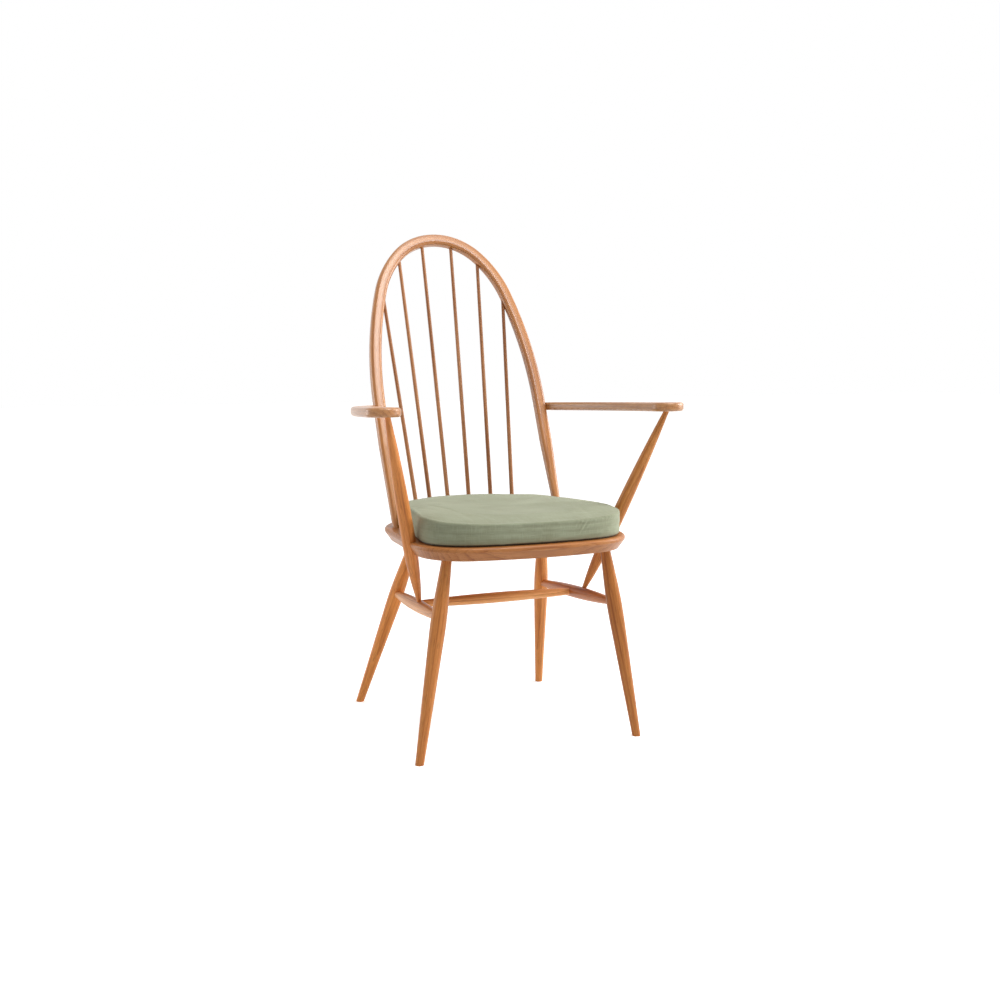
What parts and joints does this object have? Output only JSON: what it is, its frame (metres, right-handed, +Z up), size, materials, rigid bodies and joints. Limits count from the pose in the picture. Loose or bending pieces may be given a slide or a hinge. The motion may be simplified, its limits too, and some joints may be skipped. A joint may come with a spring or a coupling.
{
  "type": "dining armchair",
  "caption": "Hoop-back wooden dining armchair with a shaped board seat, splayed turned legs, spindle back, paddle arms on slanted posts, stretchers and a loose fabric seat cushion.",
  "frame": {"origin": "on the floor, under the middle of the whole chair's box", "axes": "+Z up, +X to the sitter's left, -Y the way that the chair faces"},
  "size_m": [0.6254, 0.582, 0.9901],
  "materials": {
    "honey_wood": "satin lacquer",
    "screw_steel": "zinc plated",
    "cushion_fill": "foam with wadding",
    "cushion_cloth": "matt plain weave"
  },
  "bodies": {
    "frame": {"seat": "honey_wood", "back_bow": "honey_wood", "spindle_1": "honey_wood", "spindle_2": "honey_wood", "spindle_3": "honey_wood", "spindle_4": "honey_wood", "spindle_5": "honey_wood", "spindle_6": "honey_wood", "leg_front_left": "honey_wood", "leg_rear_left": "honey_wood", "side_stretcher_left": "honey_wood", "arm_post_left": "honey_wood", "arm_left": "honey_wood", "leg_front_right": "honey_wood", "leg_rear_right": "honey_wood", "side_stretcher_right": "honey_wood", "arm_post_right": "honey_wood", "arm_right": "honey_wood", "cross_stretcher": "honey_wood", "leg_wedges": "honey_wood", "bow_wedges": "honey_wood", "arm_dowels": "honey_wood", "post_plugs": "honey_wood", "post_screws": "screw_steel"},
    "cushion": {"cushion_foam": "cushion_fill", "cushion_base_panel": "cushion_cloth", "cushion_side_band": "cushion_cloth", "cushion_top_panel": "cushion_cloth"}
  },
  "joints": [
    {"name": "cushion_lift", "type": "slide", "parent": "frame", "child": "cushion", "axis": [0, 0, 1], "range_m": [0, 0.3]}
  ]
}
